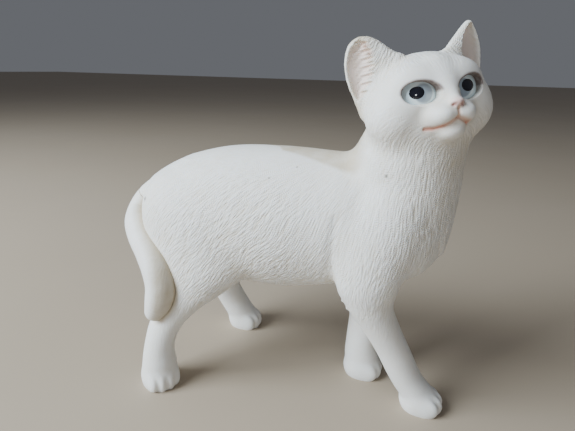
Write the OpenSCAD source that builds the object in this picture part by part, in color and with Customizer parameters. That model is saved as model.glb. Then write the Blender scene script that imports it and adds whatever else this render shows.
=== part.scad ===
// Standing cat figurine, glued together from painted castings with peg and socket joints.
// Millimetres, +Z up, +X towards the chest, +Y towards the cat's left side.
// The origin is on the ground, under the middle of the cat.

/* [Trunk] */
// Length of the trunk, from the rump to the front of the chest
trunk_l = 72; // [60:1:90]
// Height of the back above the ground
back_h = 58; // [48:1:70]
// Width of the trunk across the barrel
trunk_w = 28; // [24:1:34]

/* [Head] */
// Width of the head across the cheeks
head_w = 25; // [21:1:30]
// Turn of the head towards the cat's right, in degrees
head_turn = 60; // [30:1:70]
// Lift of the nose, in degrees
head_lift = 10; // [0:1:20]
// Lean of the head towards the right shoulder, in degrees
head_lean = 8; // [0:1:14]
// Length of an ear from its root inside the skull
ear_l = 9.6; // [8:0.2:12]

/* [Eyes] */
// Diameter of an eye insert
eye_d = 6.6; // [5.5:0.1:7]
// Height of the dome on an eye insert
eye_dome = 1.4; // [0.8:0.1:2]
// Depth of the socket under an eye insert
eye_depth = 2; // [1.2:0.1:3]
// Distance between the middles of the two eyes
eye_gap = 8.6; // [8.4:0.2:11]
// Diameter of a pupil
pupil_d = 2.9; // [2:0.1:4]

/* [Legs and tail] */
// Thickness of a fore leg above the paw
fore_leg_d = 7.6; // [6.4:0.2:10]
// Thickness of a hind leg above the paw
hind_leg_d = 8.2; // [7:0.2:10]
// Distance across the cat between the middles of the fore paws
fore_stance = 8.2; // [8:0.2:14]
// Distance across the cat between the middles of the hind paws
hind_stance = 30; // [24:1:36]
// Thickness of the tail
tail_d = 7; // [5.4:0.2:9]

/* [Joints] */
// Diameter of the pegs that hold the legs, the tail and the head
peg_d = 2.6; // [1.8:0.2:3.2]
// Diameter of the peg between the two halves of the trunk
trunk_peg_d = 8; // [5:0.5:10]
// Length of a peg beyond its parting face
peg_l = 4; // [2.5:0.5:5]
// Gap around a peg in its socket, and beyond its end
fit_gap = 0.1; // [0.05:0.05:0.2]

/* [Hidden] */
$fn = 48;

// Sizes that the stations below were drawn at
drawn_trunk_l = 72;
drawn_back_h = 58;
drawn_trunk_w = 28;
drawn_head_w = 25;
kx = trunk_l / drawn_trunk_l;
ky = trunk_w / drawn_trunk_w;
kz = back_h / drawn_back_h;
kh = head_w / drawn_head_w;

sides = 32;        // corners around a casting
steps = 4;         // rings between two stations
far = 200;         // larger than any piece
round_sides = 64;  // corners around pegs, sockets and eyes

cream = [0.93, 0.89, 0.80];

// Stations of the trunk from rump to chest: x, top, underside, half width
trunk_stations = [
    [-33.2, 44.4, 39.6, 2.5],
    [-31.6, 48, 35.4, 6.5],
    [-27.6, 51.4, 31, 10.5],
    [-20, 54.9, 27.5, 13],
    [-10, 57.3, 25.6, 14],
    [2, 58, 25.2, 14],
    [12, 57.8, 27, 13],
    [20, 57.4, 29, 12.4],
    [28, 55, 31, 11],
    [34, 51, 34, 8.5],
    [37, 47, 39, 4]];

// Stations of the neck and chest from the brisket up: z, back, front, half width, y
neck_stations = [
    [30, 21, 27, 3.5, 0],
    [32, 19, 31, 7, 0],
    [35.8, 18, 35.8, 9.5, 0],
    [41, 18, 38.4, 10.5, 0],
    [50, 18, 39.6, 10.8, 0],
    [57, 17.5, 39.8, 10.4, -0.5],
    [62, 19.5, 40, 9.8, -1],
    [68, 23, 39, 8, -2]];

// Stations of the fore legs from the sole up: z, x, y beyond the stance, half length, half width
right_fore_stations = [
    [0, 37.4, 2, 3.6, 3.4],
    [2.5, 37, 2, 4, 3.8],
    [5.5, 35, 1.8, 4.2, 3.8],
    [9, 32.8, 1.2, 3.9, 3.8],
    [15, 30, 0, 4, 3.8],
    [21, 27, -1.6, 4.4, 4.2],
    [27, 24.2, -3.2, 5.3, 4.8],
    [33, 23.6, -4.4, 7, 5.2],
    [42, 25, -4.6, 7.6, 5],
    [50, 27, -3.8, 6, 4]];
left_fore_stations = [
    [0, 22.2, 2, 3.6, 3.4],
    [2.5, 22.2, 2, 4, 3.8],
    [5.5, 21.8, 2, 4.2, 3.8],
    [9, 21.6, 2, 3.9, 3.8],
    [15, 22, 2.2, 4, 3.8],
    [21, 22.6, 2.6, 4.4, 4.2],
    [27, 23.2, 3.2, 5.6, 4.8],
    [33, 23.6, 4.4, 7, 5.2],
    [42, 25, 4.6, 7.6, 5],
    [50, 27, 3.8, 6, 4]];

// Stations of the hind legs from the sole up, in the same form
right_hind_stations = [
    [0, -24.2, -0.4, 4, 3.6],
    [2.5, -24, -0.4, 4.3, 4],
    [5.5, -24, -0.2, 4.1, 4],
    [10, -24.1, 0.4, 3.6, 3.5],
    [15, -23, 2, 4.1, 3.7],
    [20, -20, 3.8, 5.5, 4.5],
    [25, -16.6, 5, 8.2, 5.4],
    [31, -15.6, 6, 12.4, 6.6],
    [38, -17, 7.4, 13.2, 7],
    [45, -18, 8.6, 12, 6.4],
    [51, -19, 10, 7, 4]];
left_hind_stations = [
    [0, -15.6, 2, 4, 3.4],
    [2.5, -16, 2, 4.3, 3.8],
    [5.5, -17.4, 1.6, 4.4, 4],
    [10, -19.6, 0.6, 4.3, 4],
    [15, -20.8, -1.4, 4.7, 4],
    [20, -19.4, -3, 6.2, 4.6],
    [25, -17.4, -4.5, 8.6, 5.6],
    [31, -16, -6, 12.2, 6.6],
    [38, -17, -7.4, 13.2, 7],
    [45, -18, -8.6, 12, 6.4],
    [51, -19, -10, 7, 4]];
drawn_leg_d = [7.8, 8.6];

// Stations of a paw from heel to toe, from the middle of the paw: x, top, half width
paw_stations = [
    [-4.4, 3, 2.2],
    [-3.2, 5, 3.6],
    [0, 6, 4.3],
    [2.6, 5, 4.3],
    [4.4, 3.4, 3.2],
    [5.1, 2, 1.7]];

// Middle line of the tail from the rump to the tip: x, y, z, share of the tail's thickness
tail_stations = [
    [-26, 0, 46, 0.94],
    [-30.2, -0.6, 45.2, 0.94],
    [-33.4, -1.4, 42.6, 0.94],
    [-35, -2.4, 39.6, 1],
    [-34, -5.4, 37.2, 1.03],
    [-30.6, -8.8, 35.2, 1.06],
    [-26.8, -11.6, 33, 1.07],
    [-23.4, -14.1, 30, 1.07],
    [-22, -15.3, 26.4, 1.03],
    [-22.4, -16, 22.8, 0.93],
    [-23.6, -16.1, 19.4, 0.72],
    [-23.9, -16.1, 17.7, 0.3]];

// Stations of the head from the back of the skull to the nose: forward, middle, half width, half height
head_stations = [
    [-12.4, 1.5, 2.5, 2.2],
    [-11.4, 1.2, 6, 5.4],
    [-8, 0.6, 9.8, 8],
    [-3.5, 0.2, 12, 8.6],
    [1, 0, 12.6, 8.7],
    [3.5, -0.4, 11.8, 8.2],
    [5.4, -1.4, 9.6, 7],
    [6.6, -3.2, 6.2, 5],
    [8, -4.2, 4.6, 4],
    [9.6, -4.3, 3.4, 3],
    [10.5, -4.3, 2.2, 1.9],
    [10.9, -4.3, 1.2, 1]];

// Stations of an ear from its root up: share of its length, forward, half depth, half width
ear_stations = [
    [0, 0, 3.2, 5.8],
    [0.35, -0.2, 2.6, 5.3],
    [0.7, -0.9, 2, 3.5],
    [0.92, -1.5, 1.3, 1.5],
    [1, -1.7, 0.6, 0.7]];
ear_root = [-0.4, 8, 4.8];  // forward, sideways and up from the middle of the head
ear_lean = 22;              // lean of an ear away from the middle, in degrees

// Where the pieces part
split_x = 16.5 * kx;
fore_part_z = 28 * kz;
hind_part_z = 12 * kz;
neck_part_z = 60.5 * kz;
tail_part = 2;              // station of the tail at which it leaves the rump

head_at = [31 * kx, -3 * ky, 69.5 * kz];
eye_forward = 5.6 * kh;
eye_up = 0.75 * kh;
eye_turn = 8;               // turn of an eye away from straight ahead, in degrees
trunk_peg_z = 43 * kz;

// Smooth curve through four values, at t between the middle two
function between(a, b, c, d, t) =
    0.5 * (2 * b + (c - a) * t + (2 * a - 5 * b + 4 * c - d) * t * t
           + (3 * b - a - 3 * c + d) * t * t * t);

// Rows of a station table with smooth rows put between them
function smooth_rows(table) =
    let (last = len(table) - 1)
    [for (i = [0 : last - 1], k = [0 : steps - 1])
        between(table[max(i - 1, 0)], table[i], table[i + 1], table[min(i + 2, last)], k / steps),
     table[last]];

// One ring of points in the plane of the unit directions u and v
function ring(middle, u, v, ru, rv) =
    [for (i = [0 : sides - 1])
        middle + cos(360 * i / sides) * ru * u + sin(360 * i / sides) * rv * v];

// Closed skin over a list of rings, which turn anticlockwise seen from the last one
module loft(rings) {
    n = len(rings);
    polyhedron(
        points = [for (r = rings) each r],
        faces = concat(
            [[for (i = [0 : sides - 1]) i]],
            [for (j = [0 : n - 2], i = [0 : sides - 1])
                let (a = j * sides + i, b = j * sides + (i + 1) % sides)
                [a, a + sides, b + sides, b]],
            [[for (i = [sides - 1 : -1 : 0]) (n - 1) * sides + i]]));
}

// Brings the origin under the middle of the cat
drawn_middle = [2.21, 0.41];
module centred() { translate([-drawn_middle[0] * kx, -drawn_middle[1] * ky, 0]) children(); }

// Joins overlapping castings into one skin without changing their size
module one_skin() { resize([0, 0, 0]) union() children(); }

// Half spaces that cut the castings at their parting faces
module above(z) { translate([-far / 2, -far / 2, z]) cube(far); }
module below(z) { translate([-far / 2, -far / 2, z - far]) cube(far); }
module ahead_of(x) { translate([x, -far / 2, -far / 2]) cube(far); }
module behind(x) { translate([x - far, -far / 2, -far / 2]) cube(far); }

// A peg that stands up from a parting face, and the socket that takes it
module peg(d = peg_d) { translate([0, 0, -1]) cylinder(d = d, h = peg_l + 1, $fn = round_sides); }
module socket(d = peg_d) {
    translate([0, 0, -1])
        cylinder(d = d + 2 * fit_gap, h = peg_l + fit_gap + 1, $fn = round_sides);
}

module trunk() {
    loft([for (s = smooth_rows(trunk_stations))
        ring([s[0] * kx, 0, (s[1] + s[2]) / 2 * kz], [0, 1, 0], [0, 0, 1],
             s[3] * ky, (s[1] - s[2]) / 2 * kz)]);
}

module neck() {
    loft([for (s = smooth_rows(neck_stations))
        ring([(s[1] + s[2]) / 2 * kx, s[4] * ky, s[0] * kz], [1, 0, 0], [0, 1, 0],
             (s[2] - s[1]) / 2 * kx, s[3] * ky)]);
}

// Whole leg with its paw; side is -1 for the cat's right, 1 for its left
module leg(stations, side, stance, thickness, paw_turn) {
    loft([for (s = smooth_rows(stations))
        ring([s[1] * kx, side * stance / 2 + s[2] * ky, s[0] * kz], [1, 0, 0], [0, 1, 0],
             s[3] * thickness, s[4] * thickness)]);
    translate([stations[0][1] * kx, side * stance / 2 + stations[0][2] * ky, 0])
        rotate([0, 0, paw_turn]) paw(thickness);
}

module paw(thickness) {
    intersection() {
        loft([for (s = smooth_rows(paw_stations))
            ring([s[0], 0, 0] * thickness, [0, 1, 0], [0, 0, 1], s[2] * thickness, s[1] * thickness)]);
        above(0);
    }
}

fore_k = fore_leg_d / drawn_leg_d[0];
hind_k = hind_leg_d / drawn_leg_d[1];
module right_fore() { leg(right_fore_stations, -1, fore_stance, fore_k, 0); }
module left_fore() { leg(left_fore_stations, 1, fore_stance, fore_k, 0); }
module right_hind() { leg(right_hind_stations, -1, hind_stance, hind_k, -35); }
module left_hind() { leg(left_hind_stations, 1, hind_stance, hind_k, 0); }

// Middle of a leg where it parts from the body
function middle_at(stations, side, stance, z) =
    let (rows = smooth_rows(stations),
         i = [for (j = [0 : len(rows) - 2]) if (rows[j][0] * kz <= z && rows[j + 1][0] * kz > z) j][0],
         t = (z / kz - rows[i][0]) / (rows[i + 1][0] - rows[i][0]),
         s = rows[i] * (1 - t) + rows[i + 1] * t)
    [s[1] * kx, side * stance / 2 + s[2] * ky, z];

right_fore_joint = middle_at(right_fore_stations, -1, fore_stance, fore_part_z);
left_fore_joint = middle_at(left_fore_stations, 1, fore_stance, fore_part_z);
right_hind_joint = middle_at(right_hind_stations, -1, hind_stance, hind_part_z);
left_hind_joint = middle_at(left_hind_stations, 1, hind_stance, hind_part_z);
trunk_joint = [split_x, 0, trunk_peg_z];
neck_joint = [30 * kx, -1 * ky, neck_part_z];

// Rings of the tail, square to its middle line
function unit(v) = v / norm(v);
tail_rows = smooth_rows([for (s = tail_stations) [s[0] * kx, s[1] * ky, s[2] * kz, s[3]]]);
function point(row) = [row[0], row[1], row[2]];
function tail_way(j) =
    unit(point(tail_rows[min(j + 1, len(tail_rows) - 1)]) - point(tail_rows[max(j - 1, 0)]));
function tail_ring(j, extra = 0) =
    let (way = tail_way(j), v = unit(cross(way, [0, 1, 0])), u = cross(v, way),
         r = tail_d / 2 * tail_rows[j][3] + extra)
    ring(point(tail_rows[j]), u, v, r, r);
tail_cut = tail_part * steps;
tail_joint = point(tail_rows[tail_cut]);

// Turns +Z to the given direction at a place
module along(place, way) {
    translate(place) rotate([0, acos(way[2]), atan2(way[1], way[0])]) children();
}

// Root of the tail on the rump, a little past the parting face that the groove then cuts
module tail_root() { loft([for (j = [0 : tail_cut + 1]) if (j != tail_cut) tail_ring(j)]); }

// The tail from its parting face on, and with extra the groove that it lies in
module tail_bar(extra = 0) {
    loft([for (j = [tail_cut : len(tail_rows) - 1]) tail_ring(j, extra)]);
}

module on_head() {
    translate(head_at) rotate([0, 0, -head_turn]) rotate([0, -head_lift, 0])
        rotate([head_lean, 0, 0]) children();
}

module skull() {
    loft([for (s = smooth_rows(head_stations))
        ring([s[0], 0, s[1]] * kh, [0, 1, 0], [0, 0, 1], s[2] * kh, s[3] * kh)]);
}

module ear(side) {
    translate([ear_root[0], side * ear_root[1], ear_root[2]] * kh) rotate([-side * ear_lean, 0, 0])
        loft([for (s = smooth_rows(ear_stations))
            ring([s[1] * kh, 0, s[0] * ear_l], [1, 0, 0], [0, 1, 0], s[2] * kh, s[3] * kh)]);
}

// Puts a child's origin on the face of an eye, with +Z looking out of it
module on_eye(side) {
    on_head() translate([eye_forward, side * eye_gap / 2, eye_up])
        rotate([0, 0, side * eye_turn]) rotate([0, 90, 0]) children();
}

dome_r = (pow(eye_d / 2, 2) + pow(eye_dome, 2)) / (2 * eye_dome);
seat_d = pupil_d + 2 * fit_gap;
seat_depth = 0.6;

module dome(d, r, h) {
    intersection() {
        translate([0, 0, h - r]) sphere(r = r, $fn = round_sides);
        cylinder(d = d, h = h, $fn = round_sides);
    }
}

module eye(side) {
    color([0.72, 0.83, 0.90]) centred() on_eye(side) difference() {
        union() {
            dome(eye_d, dome_r, eye_dome);
            translate([0, 0, -eye_depth]) cylinder(d = eye_d, h = eye_depth, $fn = round_sides);
        }
        translate([0, 0, eye_dome - seat_depth]) cylinder(d = seat_d, h = far, $fn = round_sides);
    }
}

module pupil(side) {
    color([0.05, 0.05, 0.06]) centred() on_eye(side)
        translate([0, 0, eye_dome - seat_depth])
            cylinder(d = pupil_d, h = seat_depth, $fn = round_sides);
}

module head_skin() {
    on_head() {
        skull();
        ear(-1);
        ear(1);
    }
    intersection() {
        neck();
        above(neck_part_z);
    }
}

module head() {
    color(cream) centred() difference() {
        one_skin() intersection() {
            union() head_skin();
            above(neck_part_z);
        }
        for (side = [-1, 1])
            on_eye(side) translate([0, 0, -eye_depth - fit_gap])
                cylinder(d = eye_d + 2 * fit_gap, h = far / 8, $fn = round_sides);
        translate(neck_joint) socket();
    }
}

module front_body() {
    color(cream) centred() difference() {
        union() {
            one_skin() intersection() {
                union() {
                    trunk();
                    neck();
                    right_fore();
                    left_fore();
                }
                ahead_of(split_x);
                above(fore_part_z);
                below(neck_part_z);
            }
            translate(neck_joint) peg();
        }
        translate(right_fore_joint) socket();
        translate(left_fore_joint) socket();
        along(trunk_joint, [1, 0, 0]) socket(trunk_peg_d);
    }
}

module rear_body() {
    color(cream) centred() difference() {
        union() {
            one_skin() intersection() {
                difference() {
                    union() {
                        trunk();
                        right_hind();
                        left_hind();
                        tail_root();
                    }
                    tail_bar(fit_gap);
                }
                behind(split_x);
                above(hind_part_z);
            }
            along(trunk_joint, [1, 0, 0]) peg(trunk_peg_d);
        }
        translate(right_hind_joint) socket();
        translate(left_hind_joint) socket();
        along(tail_joint, -tail_way(tail_cut)) socket();
    }
}

module tail() {
    color(cream) centred() union() {
        tail_bar();
        along(tail_joint, -tail_way(tail_cut)) peg();
    }
}

module lower_leg(part_z, joint) {
    color(cream) centred() union() {
        one_skin() intersection() {
            union() children();
            below(part_z);
        }
        translate(joint) peg();
    }
}

module right_fore_leg() { lower_leg(fore_part_z, right_fore_joint) right_fore(); }
module left_fore_leg() { lower_leg(fore_part_z, left_fore_joint) left_fore(); }
module right_hind_leg() {
    lower_leg(hind_part_z, right_hind_joint) difference() {
        right_hind();
        tail_bar(fit_gap);
    }
}
module left_hind_leg() { lower_leg(hind_part_z, left_hind_joint) left_hind(); }

front_body();
rear_body();
head();
tail();
right_fore_leg();
left_fore_leg();
right_hind_leg();
left_hind_leg();
eye(-1);  // right_eye
eye(1);  // left_eye
pupil(-1);  // right_pupil
pupil(1);  // left_pupil
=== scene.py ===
import math

import bmesh
import bpy
import numpy as np
from mathutils import Euler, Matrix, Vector


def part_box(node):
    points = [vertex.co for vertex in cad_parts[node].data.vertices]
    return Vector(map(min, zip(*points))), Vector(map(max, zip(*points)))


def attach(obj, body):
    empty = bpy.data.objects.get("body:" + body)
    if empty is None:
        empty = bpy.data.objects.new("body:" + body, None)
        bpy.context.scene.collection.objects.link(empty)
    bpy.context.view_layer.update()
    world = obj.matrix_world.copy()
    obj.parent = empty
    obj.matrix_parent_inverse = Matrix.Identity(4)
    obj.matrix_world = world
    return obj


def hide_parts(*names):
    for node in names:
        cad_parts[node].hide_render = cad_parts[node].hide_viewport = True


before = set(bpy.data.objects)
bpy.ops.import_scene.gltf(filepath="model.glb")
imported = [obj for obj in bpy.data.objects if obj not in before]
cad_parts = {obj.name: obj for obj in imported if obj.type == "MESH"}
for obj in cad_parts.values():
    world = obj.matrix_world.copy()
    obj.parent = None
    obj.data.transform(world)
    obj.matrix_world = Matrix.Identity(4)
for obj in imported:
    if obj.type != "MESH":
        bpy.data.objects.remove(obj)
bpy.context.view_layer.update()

MM = 0.001                                  # lengths below are in millimetres, meshes in metres
MIDDLE = np.array([2.21, 0.41, 0.0])        # middle of the cat as its stations are drawn
FAR = 4.0                                   # what a field says where it isn't worked out


def node_box(name):
    """Lowest and highest corner of a CAD node, in millimetres, where the stations are drawn."""
    low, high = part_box(name)
    return np.array(low) / MM + MIDDLE, np.array(high) / MM + MIDDLE


def new_object(name, data):
    """A new object of the scene, at the origin."""
    made = bpy.data.objects.new(name, data)
    bpy.context.scene.collection.objects.link(made)
    return made


# Parting planes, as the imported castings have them
SPLIT_X = node_box("front_body")[0][0]
FORE_PART_Z = node_box("front_body")[0][2]
HIND_PART_Z = node_box("rear_body")[0][2]
NECK_PART_Z = node_box("head")[0][2]


# ---------------------------------------------------------------- camera

def make_camera():
    """Camera at the front right of the cat, slightly above it."""
    data = bpy.data.cameras.new("camera")
    data.sensor_width = 36.0
    data.lens = 28.8
    camera = new_object("camera", data)
    camera.location = (33.3 * MM, -97.0 * MM, 74.7 * MM)
    camera.rotation_euler = Euler([math.radians(a) for a in (72.16, -1.30, 19.02)])
    data.clip_start = 0.01
    bpy.context.scene.camera = camera


# ---------------------------------------------------------------- stations of the castings

FORE_STANCE = 8.2
HIND_STANCE = 30.0
HEAD_AT = np.array([31.0, -3.0, 69.5])
HEAD_TURN, HEAD_LIFT, HEAD_LEAN = 60, 10, 8

# Trunk: x, top, underside, half width
TRUNK = [(-33.2, 44.4, 39.6, 2.5), (-31.6, 48, 35.4, 6.5), (-27.6, 51.4, 31, 10.5),
         (-20, 54.9, 27.5, 13), (-10, 57.3, 25.6, 14), (2, 58, 25.2, 14), (12, 57.8, 27, 13),
         (20, 57.4, 29, 12.4), (28, 55, 31, 11), (34, 51, 34, 8.5), (37, 47, 39, 4)]
# Neck and chest: z, back, front, half width, y
NECK = [(30, 21, 27, 3.5, 0), (32, 19, 31, 7, 0), (35.8, 18, 35.8, 9.5, 0), (41, 18, 38.4, 10.5, 0),
        (50, 18, 39.6, 10.8, 0), (57, 17.5, 39.8, 10.4, -0.5), (62, 19.5, 40, 9.8, -1),
        (68, 23, 39, 8, -2)]
# Legs: z, x, y beyond the stance, half length, half width
RIGHT_FORE = [(0, 37.4, 2, 3.6, 3.4), (2.5, 37, 2, 4, 3.8), (5.5, 35, 1.8, 4.2, 3.8),
              (9, 32.8, 1.2, 3.9, 3.8), (15, 30, 0, 4, 3.8), (21, 27, -1.6, 4.4, 4.2),
              (27, 24.2, -3.2, 5.3, 4.8), (33, 23.6, -4.4, 7, 5.2), (42, 25, -4.6, 7.6, 5),
              (50, 27, -3.6, 5.6, 3.8), (55, 27.5, -2.2, 3, 2)]
LEFT_FORE = [(0, 22.2, 2, 3.6, 3.4), (2.5, 22.2, 2, 4, 3.8), (5.5, 21.8, 2, 4.2, 3.8),
             (9, 21.6, 2, 3.9, 3.8), (15, 22, 2.2, 4, 3.8), (21, 22.6, 2.6, 4.4, 4.2),
             (27, 23.2, 3.2, 5.6, 4.8), (33, 23.6, 4.4, 7, 5.2), (42, 25, 4.6, 7.6, 5),
             (50, 27, 3.6, 5.6, 3.8), (55, 27.5, 2.2, 3, 2)]
RIGHT_HIND = [(0, -24.2, -0.4, 4, 3.6), (2.5, -24, -0.4, 4.3, 4), (5.5, -24, -0.2, 4.1, 4),
              (10, -24.1, 0.4, 3.6, 3.5), (15, -23, 2, 4.1, 3.7), (20, -20, 3.8, 5.5, 4.5),
              (25, -16.6, 5, 8.2, 5.4), (31, -15.6, 6, 12.4, 6.6), (38, -17, 7.4, 13.2, 7),
              (45, -18, 8.6, 12, 6.4), (50, -19, 10, 7, 4), (52.5, -18.5, 12.5, 2, 1.2)]
LEFT_HIND = [(0, -15.6, 2, 4, 3.4), (2.5, -16, 2, 4.3, 3.8), (5.5, -17.4, 1.6, 4.4, 4),
             (10, -19.6, 0.6, 4.3, 4), (15, -20.8, -1.4, 4.7, 4), (20, -19.4, -3, 6.2, 4.6),
             (25, -17.4, -4.5, 8.6, 5.6), (31, -16, -6, 12.2, 6.6), (38, -17, -7.4, 13.2, 7),
             (45, -18, -8.6, 12, 6.4), (50, -19, -10, 7, 4), (52.5, -18.5, -12.5, 2, 1.2)]
# Tail: x, y, z, radius
TAIL = [(-26, 0, 46, 3.3), (-30.2, -0.6, 45.2, 3.3), (-33.4, -1.4, 42.6, 3.3), (-35, -2.4, 39.6, 3.5),
        (-34, -5.4, 37.2, 3.6), (-30.6, -8.8, 35.2, 3.7), (-26.8, -11.6, 33, 3.75),
        (-23.4, -14.1, 30, 3.75), (-22, -15.3, 26.4, 3.6), (-22.4, -16, 22.8, 3.2),
        (-23.6, -16.1, 20, 2.4)]
TAIL_CUT = 2                                # station at which the tail piece begins


def curve_through(rows, steps):
    """Smooth points from the second row to the last but one, that one left out."""
    t = (np.arange(steps) / steps)[:, None]
    return np.vstack([0.5 * (2 * b + (c - a) * t + (2 * a - 5 * b + 4 * c - d) * t ** 2
                             + (3 * b - a - 3 * c + d) * t ** 3)
                      for a, b, c, d in zip(rows, rows[1:], rows[2:], rows[3:])])


def smooth_rows(table, steps=8):
    """Rows of a station table with smooth rows put between them."""
    rows = np.array(table, float)
    return np.vstack([curve_through(np.vstack([rows[0], rows, rows[-1]]), steps), rows[-1]])


def smooth_loop(points, steps=4):
    """Closed outline with smooth points put between its own."""
    ring = np.array(points, float)
    return curve_through(np.vstack([ring[-1], ring, ring[:2]]), steps)


# ---------------------------------------------------------------- shapes as distance fields

def line_distance(x, y, line):
    """Distance in a plane to a line of points."""
    near = np.full(len(x), 1e4)
    for (x0, y0), (x1, y1) in zip(line, line[1:]):
        dx, dy = x1 - x0, y1 - y0
        t = np.clip(((x - x0) * dx + (y - y0) * dy) / (dx * dx + dy * dy), 0, 1)
        near = np.minimum(near, (x - x0 - t * dx) ** 2 + (y - y0 - t * dy) ** 2)
    return np.sqrt(near)


def loop_distance(x, y, loop):
    """Distance to a closed outline in a plane, negative inside."""
    closed = np.vstack([loop, loop[:1]])
    inside = np.zeros(len(x), bool)
    for (x0, y0), (x1, y1) in zip(closed, closed[1:]):
        if y1 != y0:
            inside ^= ((y0 > y) != (y1 > y)) & (x < x0 + (y - y0) / (y1 - y0) * (x1 - x0))
    return np.where(inside, -1, 1) * line_distance(x, y, closed)


def bell(distance, width):
    """1 at no distance, falling off smoothly over about the width."""
    return np.exp(-(distance / width) ** 2)


def oval_distance(across, radii):
    """Distance to an ellipse or ellipsoid, negative inside; exact enough near its surface."""
    share = np.sqrt(sum((a / r) ** 2 for a, r in zip(across, radii)))
    slope = np.sqrt(sum((a / r ** 2) ** 2 for a, r in zip(across, radii)))
    return (share - 1) * share / np.maximum(slope, 1e-6)


def loft(rows, axis, others):
    """Field of a casting drawn by stations along one axis: rows are (place, middle, middle, half, half)."""
    rows = smooth_rows(rows)
    place = rows[:, 0]

    def field(p):
        along = p[:, axis]
        m0, m1, r0, r1 = (np.interp(along, place, rows[:, i]) for i in (1, 2, 3, 4))
        side = oval_distance((p[:, others[0]] - m0, p[:, others[1]] - m1), (r0, r1))
        return np.maximum(side, np.maximum(place[0] - along, along - place[-1]))
    return field


def turn_matrix(turn=0, lift=0, lean=0):
    """Columns are the forward, left and up directions after a turn to the left, a lift and a lean."""
    y, p, r = (math.radians(a) for a in (turn, lift, lean))
    about_z = np.array([[math.cos(y), -math.sin(y), 0], [math.sin(y), math.cos(y), 0], [0, 0, 1]])
    about_y = np.array([[math.cos(p), 0, -math.sin(p)], [0, 1, 0], [math.sin(p), 0, math.cos(p)]])
    about_x = np.array([[1, 0, 0], [0, math.cos(r), -math.sin(r)], [0, math.sin(r), math.cos(r)]])
    return about_z @ about_y @ about_x


def blob(middle, radii, turned=None):
    """Field of an ellipsoid, turned by a matrix if one is given."""
    middle = np.array(middle, float)

    def field(p):
        q = p - middle
        if turned is not None:
            q = q @ turned
        return oval_distance((q[:, 0], q[:, 1], q[:, 2]), radii)
    return field


def rod(rows):
    """Field of a round bar along (x, y, z, radius) rows."""
    rows = np.array(rows, float)

    def field(p):
        nearest = np.full(len(p), 1e3)
        for a, b in zip(rows, rows[1:]):
            way = b[:3] - a[:3]
            t = np.clip((p - a[:3]) @ way / (way @ way), 0, 1)
            gap = np.linalg.norm(p - a[:3] - t[:, None] * way, axis=1) - (a[3] + t * (b[3] - a[3]))
            nearest = np.minimum(nearest, gap)
        return nearest
    return field


def join(a, b, soft):
    """Union with a fillet about as wide as soft."""
    h = np.clip(0.5 + 0.5 * (b - a) / soft, 0, 1)
    return b * (1 - h) + a * h - soft * h * (1 - h)


def carve(a, b, soft=0.02):
    """a with b taken out of it."""
    return -join(-a, b, soft)


def within(field, low, high, reach=FAR):
    """The field worked out only near its own box, to save time; far away it is just large."""
    low, high = np.array(low, float) - reach, np.array(high, float) + reach

    def limited(p):
        made = np.full(len(p), reach)
        inside = np.all((p > low) & (p < high), axis=1)
        if inside.any():
            made[inside] = field(p[inside])
        return made
    return limited


def leg_rows(rows, side, stance):
    """Stations of a leg for loft: side is -1 for right and 1 for left."""
    return [(z, x, side * stance / 2 + y, a, b) for z, x, y, a, b in rows]


def paw(middle, turn, length=4.6, width=4.1, height=5.6):
    """Paw with four toes, its middle on the ground."""
    turned = turn_matrix(turn)
    x, y = middle

    def at(forward, left, up):
        return np.array([x, y, 0]) + turned @ np.array([forward, left, up])
    pad = blob(at(-0.4, 0, height * 0.34), (length * 0.93, width * 0.93, height * 0.64), turned)
    toes = []
    for number, left in enumerate((-2.75, -1.0, 1.0, 2.75)):
        outer = number in (0, 3)
        forward = length - (2.7 if outer else 1.9)
        toes.append(blob(at(forward, left, 1.7), (2.3, 1.18, 2.2 if outer else 2.5), turned))

    def field(p):
        made = pad(p)
        for toe in toes:
            made = join(made, toe(p), 0.7)
        return made
    return within(field, (x - 7, y - 7, -1), (x + 7, y + 7, 8))


trunk = loft([(x, 0, (t + b) / 2, w, (t - b) / 2) for x, t, b, w in TRUNK], 0, (1, 2))
neck = loft([(z, (b + f) / 2, y, (f - b) / 2, w) for z, b, f, w, y in NECK], 2, (0, 1))
legs = {name: within(loft(leg_rows(rows, side, stance), 2, (0, 1)), low, high)
        for name, rows, side, stance, low, high in (
            ("right_fore", RIGHT_FORE, -1, FORE_STANCE, (14, -17, 0), (42, 4, 55)),
            ("left_fore", LEFT_FORE, 1, FORE_STANCE, (14, -2, 0), (36, 17, 55)),
            ("right_hind", RIGHT_HIND, -1, HIND_STANCE, (-32, -21, 0), (0, 0, 54)),
            ("left_hind", LEFT_HIND, 1, HIND_STANCE, (-32, 0, 0), (0, 21, 54)))}
paws = {"right_fore": paw((37.2, -2.1), 0), "left_fore": paw((22.2, 6.1), 0),
        "right_hind": paw((-24.0, -15.4), -35), "left_hind": paw((-15.6, 17.0), 0)}

TAIL_STEPS = 5                              # smooth rows for each station of the tail
tail_rows = smooth_rows(TAIL, TAIL_STEPS)
cut = TAIL_CUT * TAIL_STEPS
tail_start = tail_rows[cut]
tail_way = tail_rows[cut + 1][:3] - tail_rows[cut - 1][:3]
tail_way /= np.linalg.norm(tail_way)
stump = within(rod(tail_rows[:cut + 1]), (-38, -5, 36), (-20, 5, 52))
tail_bar = within(rod(tail_rows[cut - 1:]), (-40, -21, 15), (-18, 5, 46))


# ---------------------------------------------------------------- head

HEAD = turn_matrix(-HEAD_TURN, HEAD_LIFT, HEAD_LEAN)


def to_head(p):
    """Points as forward, left and up from the middle of the head."""
    return (p - HEAD_AT) @ HEAD


def from_head(q):
    return np.asarray(q, float) @ HEAD.T + HEAD_AT


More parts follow.
